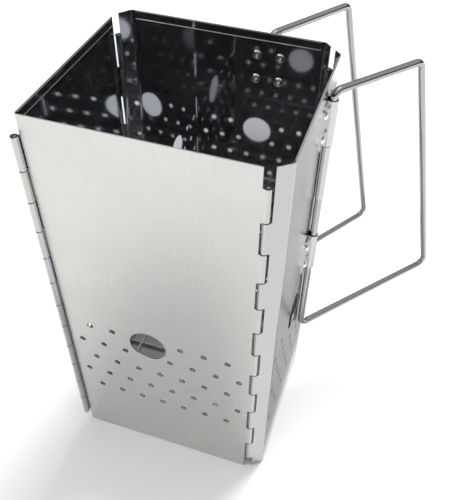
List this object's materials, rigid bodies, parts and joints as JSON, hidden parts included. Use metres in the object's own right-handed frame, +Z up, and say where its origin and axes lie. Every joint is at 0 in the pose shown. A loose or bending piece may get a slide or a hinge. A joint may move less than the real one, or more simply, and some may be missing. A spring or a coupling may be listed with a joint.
{
  "type": "chimney charcoal starter",
  "caption": "Folding chimney charcoal starter: perforated steel panels on rolled hinges, wire loop handles in riveted straps and a hinged strip grate inside.",
  "frame": {"origin": "on the standing plane, at the middle of the front panel's lower edge", "axes": "+Z up, +X along the front panel towards the handle side, +Y from the front panel to the back panel"},
  "size_m": [0.2418, 0.2505, 0.3001],
  "materials": {
    "panel_steel": "bright satin",
    "pin_steel": "drawn",
    "handle_chrome": "bright plated",
    "sleeve_steel": "bright satin",
    "strap_steel": "bright satin",
    "rivet_steel": "bright plated",
    "grate_steel": "plated",
    "hook_steel": "bright satin"
  },
  "bodies": {
    "front": {"front_panel": "panel_steel", "near_left_pin": "pin_steel", "near_right_pin": "pin_steel", "front_grate_hooks": "hook_steel"},
    "left": {"left_panel": "panel_steel", "far_left_pin": "pin_steel"},
    "right": {"right_panel": "panel_steel", "far_right_pin": "pin_steel", "right_upper_bracket": "strap_steel", "right_lower_bracket": "strap_steel", "right_upper_rivets": "rivet_steel", "right_lower_rivets": "rivet_steel"},
    "back": {"back_panel": "panel_steel", "back_upper_bracket": "strap_steel", "back_lower_bracket": "strap_steel", "back_upper_rivets": "rivet_steel", "back_lower_rivets": "rivet_steel", "rear_grate_hooks": "hook_steel"},
    "right_handle": {"right_handle": "handle_chrome", "right_handle_sleeve": "sleeve_steel"},
    "back_handle": {"back_handle": "handle_chrome", "back_handle_sleeve": "sleeve_steel"},
    "front_leaf": {"front_grate": "grate_steel"},
    "rear_leaf": {"rear_grate": "grate_steel"}
  },
  "joints": [
    {"name": "fold", "type": "hinge", "parent": "front", "child": "right", "pos_m": [0.0696, 0.0019, 0], "axis": [0, 0, 1], "range_deg": [0, 90]},
    {"name": "left_hinge", "type": "hinge", "parent": "front", "child": "left", "pos_m": [-0.0686, -0.0019, 0], "axis": [0, 0, 1], "range_deg": [0, 90]},
    {"name": "back_hinge", "type": "hinge", "parent": "left", "child": "back", "pos_m": [-0.0648, 0.1182, 0], "axis": [0, 0, -1], "range_deg": [0, 90]},
    {"name": "right_handle_swing", "type": "hinge", "parent": "right", "child": "right_handle", "pos_m": [0.0836, 0.0897, 0], "axis": [0, 0, 1], "range_deg": [-135, 0]},
    {"name": "back_handle_swing", "type": "hinge", "parent": "back", "child": "back_handle", "pos_m": [0.034, 0.1322, 0], "axis": [0, 0, 1], "range_deg": [0, 118]},
    {"name": "front_grate_flip", "type": "hinge", "parent": "front", "child": "front_leaf", "pos_m": [0.007, 0.0057, 0.075], "axis": [1, 0, 0], "range_deg": [0, 90]},
    {"name": "rear_grate_flip", "type": "hinge", "parent": "back", "child": "rear_leaf", "pos_m": [0.002, 0.1233, 0.075], "axis": [-1, 0, 0], "range_deg": [0, 90]}
  ],
  "couplings": [
    {"joint": "left_hinge", "follows": "fold", "ratio": 1},
    {"joint": "back_hinge", "follows": "fold", "ratio": 1},
    {"joint": "front_grate_flip", "follows": "fold", "ratio": 1},
    {"joint": "rear_grate_flip", "follows": "fold", "ratio": 1}
  ]
}
